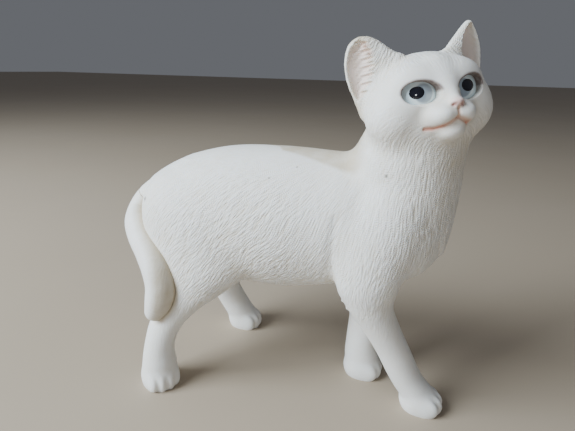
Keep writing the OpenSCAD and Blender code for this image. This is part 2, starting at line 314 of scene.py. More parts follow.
EYE_FORWARD, EYE_SIDE, EYE_UP, EYE_TURN = 5.6, 4.3, 0.75, 8
EYE_DOME = 1.4                              # height of the dome
EYE_HALF = 3.3                              # half the eye's width
EYE_R = (EYE_HALF ** 2 + EYE_DOME ** 2) / (2 * EYE_DOME)
LID = 0.16                                  # thickness of a lid
SOCKET_DEPTH = 1.0                          # floor of the socket behind the foot of the dome
PUPIL_AT = {-1: (-0.50, 0.30), 1: (0.35, 0.42)}     # middle of each pupil on its eye: left, up


def eye_frame(side):
    """Middle of the eyeball and its directions (out, left, up), in the head's own frame."""
    turned = turn_matrix(side * EYE_TURN)
    seat = np.array([EYE_FORWARD, side * EYE_SIDE, EYE_UP])
    return seat + turned[:, 0] * (EYE_DOME - EYE_R), turned


def almond(tilt, half=EYE_HALF, top=2.15, low=2.05, count=36):
    """Outline between the lids, seen from in front: (towards the temple, up)."""
    turn = 2 * math.pi * np.arange(count) / count
    across = half * np.cos(turn)
    reach = np.abs(np.sin(turn)) ** 0.9
    return np.stack([across, np.where(turn < math.pi, top, -low) * reach + tilt * across], 1)


almonds = {-1: almond(0.07), 1: almond(0.15)}


def opening(q, side):
    """Where points lie on an eye: how far inside the almond between the lids, out of the eyeball's
    middle, up, and towards the temple."""
    middle, turned = eye_frame(side)
    e = (q - middle) @ turned
    across, up = e[:, 1] * side, e[:, 2]
    inside = np.full(len(q), -9.0)
    near = (e[:, 0] > 0) & (np.hypot(across, up) < 6)
    inside[near] = -loop_distance(across[near], up[near], almonds[side])
    return inside, e[:, 0], up, across


def eyeball(q, side, grow=0.0):
    """Field of an eyeball, larger all round by grow."""
    middle, _ = eye_frame(side)
    return np.linalg.norm(q - middle, axis=1) - EYE_R - grow


# Ears, each in a plane turned outwards: (out from the middle of the head, up)
EAR_TURN = 22
EAR_SET = 2.4                               # how far the plane lies in front of the middle
EAR_OUTLINES = {
    -1: [(3.1, 7.8), (4.8, 9.4), (6.4, 10.8), (8.2, 12.3), (9.9, 12.95), (11.6, 12.8), (13.1, 11.7),
         (13.9, 9.6), (14.2, 7.4), (14.0, 5.0), (13.4, 2.6), (12.8, 0.4), (12.0, -2.0), (9.0, -2.5),
         (5.0, 2.0)],
    1: [(3.1, 7.8), (4.8, 9.2), (6.4, 10.5), (8.4, 12.1), (10.2, 13.4), (11.1, 13.7), (12.1, 12.7),
        (13.1, 10.8), (13.8, 8.6), (13.9, 6.6), (13.6, 4.4), (12.9, 2.0), (11.5, 0.0), (7.0, 0.0),
        (3.6, 4.0)]}
EAR_BOWLS = {
    -1: [(10.4, 12.3), (9.6, 11.1), (9.1, 9.5), (8.9, 7.6), (9.2, 5.6), (10.2, 3.6), (12.0, 1.6), (13.0, 2.6),
         (13.6, 5.2), (13.8, 7.6), (13.45, 9.4), (12.4, 11.5)],
    1: [(10.7, 13.1), (8.8, 11.5), (7.4, 9.6), (6.7, 7.6), (7.4, 6.5), (9.2, 5.5), (11.2, 4.2), (12.4, 2.9),
        (13.0, 4.6), (13.25, 6.8), (13.1, 8.8), (12.3, 10.7), (11.4, 12.5)]}


ear_outlines = {side: smooth_loop(points) for side, points in EAR_OUTLINES.items()}
ear_bowls = {side: smooth_loop(points) for side, points in EAR_BOWLS.items()}


def ear_place(q, side):
    """Points as (in front of the ear's plane, out from the middle, up)."""
    turn = math.radians(EAR_TURN)
    ahead = q @ np.array([math.cos(turn), side * math.sin(turn), 0])
    out = q @ np.array([-math.sin(turn), side * math.cos(turn), 0])
    return ahead, out, q[:, 2]


def bowl_depth(out, up, side):
    """How far inside the bowl's edge; hair from the head's side makes the right one's edge ragged."""
    ragged = 0.0
    if side < 0:
        notches = 0.35 * np.sin(up * 4.3 + 0.8 * out) + 0.22 * np.sin(up * 8.7 + 1.3)
        ragged = np.clip(12.4 - out, 0, 1) * notches
    return -loop_distance(out + ragged, up, ear_bowls[side])


def ear(side):
    """Field of an ear: a cupped sheet inside its outline, worked out only near the ear."""
    def field(q):
        ahead, out, up = ear_place(q, side)
        rim = loop_distance(out, up, ear_outlines[side])
        deep = np.maximum(-rim, 0)
        ahead = ahead - EAR_SET - 0.06 * (up - 6)
        front = 0.35 + 1.5 * (1 - np.exp(-deep / 1.5))
        back = 0.55 + 2.3 * (1 - np.exp(-deep / 2.2))
        scoop, soft = (1.9, 0.9) if side < 0 else (2.5, 0.7)
        front -= scoop * (1 - np.exp(-np.maximum(bowl_depth(out, up, side), 0) / soft))
        sheet = np.maximum(ahead - front, -ahead - back) * 0.75
        return -join(-rim, -sheet, 0.5)

    def limited(q):
        made = np.full(len(q), FAR)
        forward, left, up = q[:, 0], q[:, 1] * side, q[:, 2]
        near = (left > 1) & (left < 18) & (up > -4) & (up < 17) & (np.abs(forward) < 9)
        if near.any():
            made[near] = np.minimum(field(q[near]), FAR)
        return made
    return limited


def both(make):
    """The right one and the left one."""
    return [make(side) for side in (-1, 1)]


cranium = blob((-1.6, 0, 0.9), (10.6, 11.0, 7.9))
cheeks = both(lambda s: blob((1.5, s * (6.5 - 0.2 * s), -2.5), (5.7, 5.75 - 0.15 * s, 5.6)))
brows = both(lambda s: blob((4.0, s * 4.2, 3.2), (3.2, 4.2, 2.9)))
jaw = blob((2.8, 0, -4.9), (5.2, 6.2, 3.3))
pads = both(lambda s: blob((7.9, 0.25 + s * 1.8, -3.4), (3.2, 2.6, 2.1)))
bridge = rod([(4.6, 0, 4.2, 2.7), (7.3, 0.1, 1.6, 1.6), (9.5, 0.25, -0.9, 1.15)])
nose = blob((10.3, 0.3, -1.6), (1.05, 1.25, 0.85))
chin = blob((7.9, 0.3, -6.1), (2.2, 2.3, 1.75))
ears = both(ear)

# Lines of the muzzle as seen from the front: (left, up)
PHILTRUM = [(0.35, -2.3), (0.35, -4.0)]
MOUTH = [[(0.35, -4.0), (-0.6, -4.5), (-1.8, -5.15), (-3.1, -5.5), (-4.4, -5.35)],
         [(0.35, -4.0), (1.2, -4.5), (2.2, -5.0), (3.0, -5.3)]]
NOSTRILS = [(-0.45, -1.9), (1.0, -1.95)]


def muzzle_lines(q):
    """Distances to the mouth, the philtrum and the nostrils, all large behind the face."""
    behind = np.maximum(5.0 - q[:, 0], 0)
    left, up = q[:, 1], q[:, 2]
    mouth = np.minimum(*(line_distance(left, up, line) for line in MOUTH)) + behind
    philtrum = line_distance(left, up, PHILTRUM) + behind
    nostril = np.min([np.hypot((left - x) / 1.25, up - y) for x, y in NOSTRILS], axis=0) + behind
    return mouth, philtrum, nostril


def head_shape(p):
    """Field of the head, with its ears, lids and eye sockets, and the lines of its muzzle."""
    q = to_head(p)
    made = cranium(q)
    for cheek in cheeks:
        made = join(made, cheek(q), 2.5)
    made = join(made, jaw(q), 2.5)
    for brow in brows:
        made = join(made, brow(q), 2.0)
    made = join(made, bridge(q), 1.6)
    for pad in pads:
        made = join(made, pad(q), 1.6)
    made = join(made, chin(q), 0.9)
    made = join(made, nose(q), 0.5)
    for side, limited in zip((-1, 1), ears):
        made = join(made, limited(q), 1.0)
        made = join(made, eyeball(q, side, LID), 0.6)
        inside, ahead, _, _ = opening(q, side)
        floor = EYE_R - EYE_DOME - SOCKET_DEPTH - ahead
        made = carve(made, np.maximum(np.maximum(-inside, floor), eyeball(q, side, 2.5)), 0.10)
    mouth, philtrum, nostril = muzzle_lines(q)
    return made + 0.34 * bell(mouth, 0.30) + 0.22 * bell(philtrum, 0.25) + 0.30 * bell(nostril, 0.30)


head_field = within(head_shape, HEAD_AT - (17, 17, 11), HEAD_AT + (17, 17, 17))


# ---------------------------------------------------------------- the cat without its pieces' cuts

# Crease behind the right shoulder, seen from the side: (x, z)
CREASE = [(17.0, 46), (16.4, 41), (16.4, 35), (17.0, 31)]
# Crumbs of flash behind the right elbow: x, y, z, radius
CRUMBS = [(18.7, -9.2, 29.6, 0.5), (19.1, -9.0, 27.6, 0.45),
          (20.1, -8.2, 25.6, 0.5), (21.3, -7.2, 23.4, 0.4)]


# Fillets, as wide as they look
CHEST_SOFT = 3.0                            # between neck and trunk
FORE_SOFT = 2.2                             # at the tops of the fore legs
HIND_SOFT = 2.6                             # at the thighs
HEAD_SOFT = 2.6                             # at the throat
STUMP_SOFT = 2.4                            # at the root of the tail
PAW_SOFT = 1.4
CRUMB_SOFT = 0.3
GROOVE_SOFT = 0.3                           # edge of the groove that the tail lies in
TAIL_GAP = 0.03                             # between the tail and its groove


def crumbs(p):
    gaps = [np.linalg.norm(p - (x, y, z), axis=1) - radius for x, y, z, radius in CRUMBS]
    return np.min(gaps, axis=0)


def tail_field(p):
    """Field of the tail behind the plane it is cut at."""
    beyond = (tail_start[:3] - p) @ tail_way
    return np.maximum(tail_bar(p), beyond)


def chest_field(p):
    return join(trunk(p), neck(p), CHEST_SOFT)


def body_field(p, head=True, hind=True):
    """Field of everything but the paws and the tail."""
    made = chest_field(p)
    for name in ("right_fore", "left_fore"):
        made = join(made, legs[name](p), FORE_SOFT)
    made = join(made, crumbs(p), CRUMB_SOFT)
    crease = line_distance(p[:, 0], p[:, 2], CREASE)
    made = made + 0.28 * bell(crease, 1.1) * np.clip(-0.5 * p[:, 1] - 1, 0, 1)
    if head:
        made = join(made, head_field(p), HEAD_SOFT)
    if hind:
        for name in ("right_hind", "left_hind"):
            made = join(made, legs[name](p), HIND_SOFT)
        made = join(made, stump(p), STUMP_SOFT)
        made = carve(made, tail_field(p) - TAIL_GAP, GROOVE_SOFT)
    return made


def leg_field(name):
    """Field of a leg with its paw; the fore legs' tops meet the chest."""
    def field(p):
        made = join(legs[name](p), paws[name](p), PAW_SOFT)
        if name.endswith("fore"):
            made = join(made, chest_field(p), FORE_SOFT)
        return join(made, crumbs(p), CRUMB_SOFT)
    return field


# ---------------------------------------------------------------- meshing

def slope_of(field, points, step=0.02):
    """Outward direction of the field at points."""
    made = np.empty_like(points)
    for i in range(3):
        shift = np.zeros(3)
        shift[i] = step
        made[:, i] = field(points + shift) - field(points - shift)
    made /= 2 * step
    return made


def settle(field, points, rounds=2):
    """Points brought onto the surface."""
    for _ in range(rounds):
        slope = slope_of(field, points)
        size = np.maximum((slope ** 2).sum(1), 0.2)
        move = (field(points) / size)[:, None] * slope
        reach = np.linalg.norm(move, axis=1, keepdims=True)
        points = points - move * np.minimum(1, 0.25 / np.maximum(reach, 1e-9))
    return points


def sampled(field, axes, step):
    """The field on a grid: worked out closely only near its surface, and roughly elsewhere."""
    rough = 4
    reach = [np.append(a[::rough], a[::rough][-1] + rough * step) for a in axes]
    coarse = field(np.stack(np.meshgrid(*reach, indexing="ij"), -1).reshape(-1, 3))
    coarse = coarse.reshape([len(a) for a in reach])
    value = coarse
    for axis, places in enumerate(axes):
        value = np.take(value, (np.arange(len(places)) + rough // 2) // rough, axis=axis)
    value = value.copy()
    close = np.argwhere(np.abs(value) < 3.2 * rough * step)
    points = np.stack([axes[i][close[:, i]] for i in range(3)], 1)
    value[tuple(close.T)] = field(points)
    return value


def skin_of(field, low, high, step):
    """Even quads over the surface where the field is zero: (points, quads)."""
    counts = np.ceil((high - low) / step).astype(int) + 1
    axes = [low[i] + step * np.arange(counts[i]) for i in range(3)]
    value = sampled(field, axes, step)
    cells = counts - 1
    places, owners, quads = [], [], []
    for axis in range(3):
        u, v = (axis + 1) % 3, (axis + 2) % 3
        a = np.moveaxis(value, axis, 0)[:-1]
        b = np.moveaxis(value, axis, 0)[1:]
        crossing = np.moveaxis((a < 0) != (b < 0), 0, axis)
        at = np.argwhere(crossing)
        at = at[(at[:, u] > 0) & (at[:, u] < cells[u]) & (at[:, v] > 0) & (at[:, v] < cells[v])]
        beyond = at.copy()
        beyond[:, axis] += 1
        first, second = value[tuple(at.T)], value[tuple(beyond.T)]
        point = low + at * step
        point[:, axis] += first / (first - second) * step
        corners = []
        for du, dv in ((-1, -1), (0, -1), (0, 0), (-1, 0)):
            cell = at.copy()
            cell[:, u] += du
            cell[:, v] += dv
            number = np.ravel_multi_index(tuple(cell.T), tuple(cells))
            corners.append(number)
            places.append(point)
            owners.append(number)
        corners = np.stack(corners, 1)
        outward = first < 0
        corners[~outward] = corners[~outward][:, ::-1]
        quads.append(corners)
    used, back = np.unique(np.concatenate(owners), return_inverse=True)
    total = np.zeros((len(used), 3))
    np.add.at(total, back, np.concatenate(places))
    points = total / np.bincount(back)[:, None]
    quads = np.searchsorted(used, np.concatenate(quads))
    for _ in range(2):
        middles = points[quads].mean(1)
        gathered = np.zeros_like(points)
        np.add.at(gathered, quads.ravel(), np.repeat(middles, 4, axis=0))
        points = gathered / np.bincount(quads.ravel())[:, None]
        points = settle(field, points, 1)
    return settle(field, points, 1), quads


def cut_mesh(points, quads, cuts):
    """A bmesh of the skin with everything beyond each (place, outward direction) plane cut off and capped."""
    mesh = bpy.data.meshes.new("skin")
    mesh.from_pydata(points.tolist(), [], quads.tolist())
    skin = bmesh.new()
    skin.from_mesh(mesh)
    bpy.data.meshes.remove(mesh)
    for face in skin.faces:
        face.smooth = True
    for place, way in cuts:
        everything = skin.verts[:] + skin.edges[:] + skin.faces[:]
        made = bmesh.ops.bisect_plane(skin, geom=everything, dist=1e-5, plane_co=place,
                                      plane_no=way, clear_outer=True)
        rim = [e for e in made["geom_cut"] if isinstance(e, bmesh.types.BMEdge) and e.is_boundary]
        caps = bmesh.ops.edgeloop_fill(skin, edges=rim)["faces"]
        for edge in rim:
            edge.smooth = False
        for cap in caps:
            cap.smooth = False
    bmesh.ops.recalc_face_normals(skin, faces=skin.faces[:])
    return skin


def make_casting(name, field, low, high, step, cuts, painted=False):
    """A finished piece: meshed, cut at its parting planes and given its surface values."""
    points, quads = skin_of(field, np.array(low, float), np.array(high, float), step)
    skin = cut_mesh(points, quads, cuts)
    mesh = bpy.data.meshes.new(name)
    skin.to_mesh(mesh)
    skin.free()
    places = np.empty(len(mesh.vertices) * 3)
    mesh.vertices.foreach_get("co", places)
    places = places.reshape(-1, 3)
    out = slope_of(field, places)
    out /= np.maximum(np.linalg.norm(out, axis=1, keepdims=True), 1e-9)
    for place, way in cuts:
        on_cut = np.abs((places - place) @ np.array(way)) < 1e-3
        out[on_cut] -= (out[on_cut] @ np.array(way))[:, None] * np.array(way)
    for key, value in {"out": out, **dress(places, out, painted)}.items():
        kind = "FLOAT_VECTOR" if value.ndim == 2 else "FLOAT"
        attribute = mesh.attributes.new(key, kind, "POINT")
        field_name = "vector" if value.ndim == 2 else "value"
        attribute.data.foreach_set(field_name, value.astype(np.float32).ravel())
    mesh.vertices.foreach_set("co", ((places - MIDDLE) * MM).ravel())
    return new_object(name + "_cast", mesh)


# ---------------------------------------------------------------- combing and paint

# Combing of the body, the far side as the near one: x, y, z, the way the hair lies, depth of its grooves
COMBED = [(-30, -8, 46, (-0.6, -0.3, -0.7), 0.25), (-20, -10, 52, (-0.8, -0.2, -0.5), 0.25),
          (-8, -6, 57, (-0.9, -0.1, -0.3), 0.12), (8, -6, 57.5, (-0.9, -0.1, -0.3), 0.08),
          (-22, -15, 44, (-0.55, -0.2, -0.8), 0.8), (-10, -14, 48, (-0.6, 0, -0.8), 1.0),
          (4, -14, 46, (-0.6, 0, -0.8), 1.0), (12, -13, 48, (-0.5, 0, -0.85), 0.6),
          (0, -13, 36, (-0.72, 0, -0.68), 1.0), (-8, -11, 29, (-0.8, 0, -0.55), 0.9),
          (10, -12, 34, (-0.6, 0, -0.8), 0.9), (8, -6, 27, (-0.85, 0, -0.3), 0.7),
          (-16, -20, 38, (-0.45, 0, -0.9), 0.9), (-10, -16, 30, (-0.55, 0, -0.85), 1.0),
          (-18, -19, 26, (-0.4, 0.2, -0.9), 0.5), (-22, -15, 18, (-0.2, 0, -1), 0.2),
          (-23, -15, 8, (0, 0, -1), 0.05), (18, -12, 52, (-0.2, 0, -1), 0.12),
          (16, -11, 44, (-0.3, 0, -0.95), 0.35), (24, -10, 38, (-0.15, 0, -1), 0.7),
          (24, -8, 30, (-0.1, 0, -1), 0.4), (28, -7, 22, (0.1, 0, -1), 0.08),
          (34, -4, 8, (0.1, 0, -1), 0.04), (30, -10, 48, (-0.1, 0, -1), 0.8), (37, -4, 44, (0, 0, -1), 0.8),
          (38, 0, 52, (0.05, 0, -1), 0.8), (30, -10, 58, (-0.15, 0, -1), 0.6),
          (38, -4, 60, (0.05, 0, -1), 0.7), (21, -5, 60, (-0.3, 0, -0.95), 0.15),
          (22, 6, 10, (0, 0, -1), 0.03), (-14, -16, 6, (0, 0, -1), 0.03)]
COMB_REACH = 6.0                            # how far each combed place is felt
# The same on the head, from its own middle: forward, out from the middle, up
COMBED_HEAD = [(-6, 5, 7.5, (-0.9, 0.2, -0.2), 0.25), (0, 2, 8.6, (-1, 0.1, 0.2), 0.30),
               (5, 3, 6.0, (-0.5, 0.2, 0.8), 0.22),
               (1, 9.5, 11, (0.1, -0.75, 0.65), 1.1), (1.5, 7.5, 8.4, (0.1, -0.8, 0.6), 0.9),
               (-1, 11, 12.5, (0.1, -0.6, 0.8), 0.7), (-4, 9, 9, (-0.4, 0.3, -0.9), 0.3),
               (4, 8.5, -1, (-0.4, 0.6, -0.5), 0.18), (1, 11.5, -3.5, (-0.5, 0.2, -0.85), 0.5),
               (-6, 10, -2, (-0.5, 0.1, -0.85), 0.55), (3, 7, -7, (-0.5, 0.1, -0.8), 0.65),
               (8, 2, -4, (-0.3, 0.9, -0.2), 0.02), (7, 0, 0, (-0.5, 0, 0.8), 0.02),
               (6.5, 5, 1, (0, 0.5, 0.5), 0.02),
               (-10, 3, 2, (-0.3, 0.2, -0.9), 0.5), (0, 2, -9, (0, 0, -1), 0.6)]
HEAD_REACH = 3.2


def combed(points, rows, reach):
    """Way the hair lies and depth of its grooves at points, from rows of combed places."""
    far_side = np.where(points[:, 1] > 0, -1.0, 1.0)[:, None]
    near = points * np.hstack([np.ones_like(far_side), far_side, np.ones_like(far_side)])
    total = np.full(len(points), 1e-9)
    way, depth = np.zeros_like(points), np.zeros(len(points))
    for x, y, z, lay, deep in rows:
        weight = np.exp(-((near - (x, y, z)) ** 2).sum(1) / (2 * reach ** 2))
        total += weight
        way += weight[:, None] * np.array(lay)
        depth += weight * deep
    way *= np.hstack([np.ones_like(far_side), far_side, np.ones_like(far_side)])
    return way / total[:, None], depth / total


def lay_of(points, out):
    """Combing over the whole cat, going over from the head's own to the body's at the throat."""
    way, depth = combed(points, COMBED, COMB_REACH)
    q = to_head(points)
    head_rows = [(f, -l, u, (a, -b, c), d) for f, l, u, (a, b, c), d in COMBED_HEAD]
    head_way, head_depth = combed(q, head_rows, HEAD_REACH)
    share = np.clip((points[:, 2] - 58.0) / 6.0, 0, 1)
    share = share * share * (3 - 2 * share)
    way = way * (1 - share[:, None]) + (head_way @ HEAD.T) * share[:, None]
    depth = depth * (1 - share) + head_depth * share
    way -= (way * out).sum(1)[:, None] * out
    way /= np.maximum(np.linalg.norm(way, axis=1, keepdims=True), 1e-6)
    return way, depth


def crease_shade_of(points, out):
    """How far each point of the cat lies in a crease or a recess, from 0 to 1; the plastic gets painted shade
    there.
    """
    total = np.zeros(len(points))
    for reach, share in ((1.3, 0.6), (3.2, 0.6)):
        place = points + out * reach
        open_way = np.minimum(body_field(place), tail_field(place))
        total += share * np.clip((reach - open_way) / (0.7 * reach), 0, 1)
    return np.minimum(total, 1)


def shade_and_back_tint_of(points, out):
    """Painted shade on the side of the tail turned from the lamp and under the chin at the throat, and a
    yellower patch on the far side of the back, from 0 to 1.
    """
    x, y, z = points.T
    edge = np.interp(x, [-12, -5, 1, 2.5, 7, 13.5, 20], [4, 2, -0.5, -3, -4.3, -6.2, -8])
    ends = np.clip((x + 12) / 6, 0, 1) * np.clip((22 - x) / 3, 0, 1)
    back = np.clip((y - edge) / 0.9 + 0.5, 0, 1) * ends * np.clip((z - 48) / 6, 0, 1)
    # Painted shade on the tail's side that faces away from the lamp.
    on_tail = np.clip(1.2 - np.abs(tail_field(points)) / 0.6, 0, 1)
    tail = on_tail * np.clip(1.9 * out[:, 0] + 0.40, 0, 1)
    # Painted shade under the chin.
    throat = 0.55 * bell(np.linalg.norm((points - (37, -5, 60)) / (1, 1, 1.1), axis=1), 6.0)
    return np.max([back, tail, throat], axis=0)


# Air bubbles in the casting: x, y, z, radius
PINHOLES = [(-28.6, -10.0, 45.0, 0.45), (25.9, -10.6, 55.7, 0.30),
            (2.2, -10.1, 52.9, 0.20), (7.4, -7.6, 55.2, 0.18)]


def dress(points, out, painted):
    """Surface values of a casting: how it is combed, where it lies in creases and gets painted shade, where
    shade and a tint are painted on its far sides, and on the head its paint.
    """
    way, depth = lay_of(points, out)
    depth *= np.clip(tail_field(points) / 1.5, 0.25, 1)
    bubble = np.zeros(len(points))
    for x, y, z, radius in PINHOLES:
        gap = np.linalg.norm(points - (x, y, z), axis=1)
        bubble = np.maximum(bubble, bell(gap, radius))
    # Two of these values place painted shade: one in creases and recesses, one on the tail's side turned from
    # the lamp and under the chin, which also tints the back.
    made = {"lay": way, "depth": depth, "crease_shade": crease_shade_of(points, out),
            "shade_and_back_tint": shade_and_back_tint_of(points, out), "bubble": bubble}
    if painted:
        made.update(paint(to_head(points)))
        made["depth"] = depth * (1 - made.pop("bald"))
    return made


def paint(q):
    """Painted parts of the head, each from 0 to 1."""
    mouth, philtrum, nostril = muzzle_lines(q)
    ends = np.clip((np.abs(q[:, 1] - 0.35) - 1.2) / 1.4, 0, 1)
    lips = bell(mouth, 0.42) * (0.55 + 0.45 * ends) * (np.abs(q[:, 1]) < 4.8)
    lips = np.maximum(lips, 0.55 * bell(philtrum, 0.30))
    holes = bell(nostril, 0.42)
    pad = np.clip(1.3 - np.hypot((q[:, 1] - 0.3) / 1.3, (q[:, 2] + 1.45) / 0.85), 0, 1) * (q[:, 0] > 8.5)
    lash, bowl, bald = np.zeros(len(q)), np.zeros(len(q)), np.zeros(len(q))
    for side in (-1, 1):
        inside, _, up, across = opening(q, side)
        above = np.clip((up + 0.2) / 0.5, 0, 1)
        corner = 0.5 * np.clip((across - 1.2) / 1.2, 0, 1) * np.clip(1.6 + up, 0, 1)
        line = bell(np.maximum(-inside - 0.10, 0), np.where(above > 0.5, 0.24, 0.16))
        lash = np.maximum(lash, line * np.maximum(above, corner) * (inside > -1.5))
        near_eye = np.clip(1 + (inside + 1.6) / 1.0, 0, 1)
        ahead, out, height = ear_place(q, side)
        inner = np.clip(bowl_depth(out, height, side) / 0.8, 0, 1) * (ahead > EAR_SET - 2.8)
        bowl = np.maximum(bowl, np.where(q[:, 1] * side > 0, inner, 0))
        bald = np.maximum(bald, np.maximum(near_eye, bowl))
    _, out, height = ear_place(q, -1)
    pits = bell(np.hypot(out - 9.9, height - 11.0), 0.55) + bell(np.hypot(out - 9.2, height - 9.6), 0.5)
    lips = np.maximum(lips, 0.5 * np.minimum(pits, 1) * (q[:, 1] < -5))
    return {"lips": lips, "nostril": holes, "nose": pad, "lash": lash, "bowl": bowl, "bald": bald}


# ---------------------------------------------------------------- node trees

class Wire:
    """A socket of a node tree that maths can be written on; each operation adds its own Math node."""

    def __init__(self, tree, socket=None):
        self.tree, self.socket = tree, socket

    def add(self, kind, settings=None, values=None, output=0):
        """A new node of the tree: its settings first, then the values or links of its sockets."""
        node = self.tree.nodes.new(kind)
        for key, value in (settings or {}).items():
            if key == "stops":
                for stop, (place, colour) in zip(node.color_ramp.elements, value):
                    stop.position, stop.color = place, colour
            else:
                setattr(node, key, value)
        for key, value in (values or {}).items():
            if isinstance(value, Wire):
                self.tree.links.new(value.socket, node.inputs[key])
            else:
                node.inputs[key].default_value = value
        return Wire(self.tree, node.outputs[output] if node.outputs else None)

    def maths(self, operation, first, second):
        return self.add("ShaderNodeMath", {"operation": operation}, {0: first, 1: second})

    def __add__(self, other):
        return self.maths("ADD", self, other)

    def __radd__(self, other):
        return self.maths("ADD", other, self)

    def __sub__(self, other):
        return self.maths("SUBTRACT", self, other)

    def __rsub__(self, other):
        return self.maths("SUBTRACT", other, self)

    def __mul__(self, other):
        return self.maths("MULTIPLY", self, other)

    def __rmul__(self, other):
        return self.maths("MULTIPLY", other, self)

    def scaled(self, share):
        """This vector times a number."""
        return self.add("ShaderNodeVectorMath", {"operation": "SCALE"}, {0: self, "Scale": share})

    def moved(self, way):
        """This vector plus another."""
        return self.add("ShaderNodeVectorMath", {"operation": "ADD"}, {0: self, 1: way})

    def clamp(self, low=0.0, high=1.0):
        return self.maths("MINIMUM", self.maths("MAXIMUM", self, low), high)


def seeded_noise(start, place, seed, scale, detail=0.0, output=0):
    values = {"Vector": place, "W": seed, "Scale": scale, "Detail": detail}
    return start.add("ShaderNodeTexNoise", {"noise_dimensions": "4D"}, values, output)


def streaks(start, place, lay, scale, length, seed, count=10):
    """Noise drawn out along the way the hair lies: -1 in a groove, 0.8 on a ridge."""
    wander = seeded_noise(start, place, seed, 160.0, output=1).moved((-0.5, -0.5, -0.5))
    lay = lay.moved(wander.scaled(0.9))
    shares = [math.sin(math.pi * (i + 0.5) / count) ** 2 for i in range(count)]
    total = 0.0
    for i, share in enumerate(shares):
        moved = place.moved(lay.scaled(length * ((i + 0.5) / count - 0.5)))
        total = seeded_noise(start, moved, seed, scale) * (share / sum(shares)) + total
    return ((total - 0.5) * 9.0).clamp(-1.0, 0.8)


STROKE_SEED = 1.0


def stroke_tree():
    """Geometry nodes that press combed grooves into a casting, along the way its hair lies."""
    tree = bpy.data.node_groups.new("combed strokes", "GeometryNodeTree")
    inputs = (("Casting", "NodeSocketGeometry", None), ("Depth", "NodeSocketFloat", 0.10 * MM),
              ("Spacing", "NodeSocketFloat", 0.65 * MM), ("Length", "NodeSocketFloat", 4.0 * MM),
              ("Seed", "NodeSocketFloat", STROKE_SEED), ("Plastic", "NodeSocketMaterial", None))
    for name, kind, value in inputs:
        socket = tree.interface.new_socket(name, in_out="INPUT", socket_type=kind)
        if value is not None:
            socket.default_value = value
    tree.interface.new_socket("Casting", in_out="OUTPUT", socket_type="NodeSocketGeometry")
    start = Wire(tree)
    entry = tree.nodes.new("NodeGroupInput")
    given = {name: Wire(tree, entry.outputs[name]) for name, _, _ in inputs}

    def named(name, kind):
        return start.add("GeometryNodeInputNamedAttribute", {"data_type": kind}, {"Name": name})

    place = start.add("GeometryNodeInputPosition")
    lay, out = named("lay", "FLOAT_VECTOR"), named("out", "FLOAT_VECTOR")
    depth = named("depth", "FLOAT")
    scale = start.maths("DIVIDE", 1.45, given["Spacing"])
    stroke = streaks(start, place, lay, scale, given["Length"], given["Seed"])
    patch = seeded_noise(start, place, given["Seed"] + 7.0, 260.0, 1.0)
    amount = depth * (patch * 1.8 - 0.15).clamp(0.25, 1.3)
    push = out.scaled(stroke * amount * given["Depth"])
    kept = start.add("GeometryNodeStoreNamedAttribute", {"data_type": "FLOAT", "domain": "POINT"},
                     {"Geometry": given["Casting"], "Name": "groove", "Value": stroke * amount})
    pressed = start.add("GeometryNodeSetPosition", None, {"Geometry": kept, "Offset": push})
    real = start.add("GeometryNodeRealizeInstances", None, {"Geometry": pressed})
    coated = start.add("GeometryNodeSetMaterial", None, {"Geometry": real, "Material": given["Plastic"]})
    finish = tree.nodes.new("NodeGroupOutput")
    tree.links.new(coated.socket, finish.inputs[0])
    return tree


def comb(piece, tree, plastic, seed):
    """Presses the strokes into a casting and leaves it a plain mesh."""
    modifier = piece.modifiers.new("strokes", "NODES")
    modifier.node_group = tree
    given = {"Seed": seed, "Plastic": plastic}
    for item in tree.interface.items_tree:
        if item.in_out == "INPUT" and item.name in given:
            modifier[item.identifier] = given[item.name]
    evaluated = piece.evaluated_get(bpy.context.evaluated_depsgraph_get())
    mesh = bpy.data.meshes.new_from_object(evaluated)
    piece.modifiers.remove(modifier)
    plain, piece.data = piece.data, mesh
    bpy.data.meshes.remove(plain)


def start_material(name):
    material = bpy.data.materials.new(name)
    material.use_nodes = True
    tree = material.node_tree
    tree.nodes.clear()
    return material, Wire(tree)


def end_material(start, colour, roughness, normal, **constants):
    """The shader itself; what is the same all over is set on its own sockets."""
    values = {"Base Color": colour, "Roughness": roughness, "Normal": normal}
    values.update({key.replace("_", " "): value for key, value in constants.items()})
    shader = start.add("ShaderNodeBsdfPrincipled", None, values)
    start.add("ShaderNodeOutputMaterial", None, {"Surface": shader})


def attribute(start, name):
    return start.add("ShaderNodeAttribute", {"attribute_name": name}, output=2)


def bump(start, strength, distance, height):
    values = {"Strength": strength, "Distance": distance, "Height": height}
    return start.add("ShaderNodeBump", None, values)


def mixed(start, share, first, second):
    return start.add("ShaderNodeMix", {"data_type": "RGBA"}, {0: share, 6: first, 7: second}, output=2)


def noise(start, place, scale, detail=2.0, roughness=0.5):
    return start.add("ShaderNodeTexNoise", None,
                     {"Vector": place, "Scale": scale, "Detail": detail, "Roughness": roughness})


CREAM = (0.80, 0.795, 0.77, 1)
# Warm beige of the painted shade in creases and grooves.
WARM_SHADE = (0.66, 0.58, 0.44, 1)
# Chalky white of random tone, and of painted light on the ridges between grooves.
CHALK_AND_RIDGE_LIGHT = (0.86, 0.87, 0.87, 1)
# Dark warm beige of the painted shade on the tail and throat, and of the back's yellower patch.
SHADE_AND_BACK_TINT = (0.50, 0.42, 0.29, 1)
DIRT = (0.10, 0.085, 0.06, 1)
HAIR_WIDTH = 0.66 * MM


